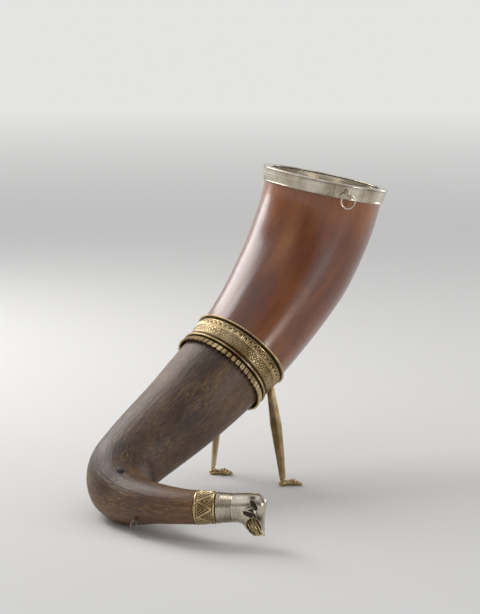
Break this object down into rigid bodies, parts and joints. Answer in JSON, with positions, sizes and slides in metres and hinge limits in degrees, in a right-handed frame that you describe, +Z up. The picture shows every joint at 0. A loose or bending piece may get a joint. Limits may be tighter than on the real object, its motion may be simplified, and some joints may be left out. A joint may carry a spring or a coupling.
{
  "type": "drinking horn",
  "caption": "Curved animal-horn drinking vessel with a metal rim, an ornamented band on two clawed legs, a beast-head finial on the tip and two hanging strap rings.",
  "frame": {"origin": "on the table, under the middle of the bounding box", "axes": "+Z up; +X the way the horn leans as it rises from its bend to its mouth; the tip and its finial point towards -Y"},
  "size_m": [0.2736, 0.1788, 0.2251],
  "materials": {
    "horn": "polished ox horn, rough and darker below the band",
    "silver": "worn polished silver with traces of gilding",
    "silver_gilt": "silver gilt, rubbed on its high places"
  },
  "bodies": {
    "vessel": {"horn": "horn", "rim_band": "silver", "rim_lining": "silver", "rim_lip": "silver", "rim_eye": "silver", "band_upper_wire": "silver_gilt", "band_plate": "silver_gilt", "band_lower_wire": "silver_gilt", "band_fringe": "silver_gilt", "right_leg": "silver_gilt", "left_leg": "silver_gilt", "collar_back_wire": "silver_gilt", "collar_plate": "silver_gilt", "collar_front_wire": "silver_gilt", "finial_neck": "silver", "finial_head": "silver", "belly_eye": "silver", "rim_pin_1": "silver", "rim_pin_2": "silver", "rim_pin_3": "silver", "band_pin_1": "silver_gilt", "band_pin_2": "silver_gilt", "band_pin_3": "silver_gilt", "collar_pin": "silver_gilt"},
    "rim_ring": {"rim_ring": "silver"},
    "belly_ring": {"belly_ring": "silver"}
  },
  "joints": [
    {"name": "rim_ring_swing", "type": "hinge", "parent": "vessel", "child": "rim_ring", "pos_m": [0.07055, -0.0007, 0.20803], "axis": [-0.9026, 0.4306, 0], "range_deg": [-24, 170]},
    {"name": "belly_ring_swing", "type": "hinge", "parent": "vessel", "child": "belly_ring", "pos_m": [-0.13506, -0.01129, 0.01031], "axis": [-0.1922, 0.9813, 0], "range_deg": [-58, 165]}
  ]
}
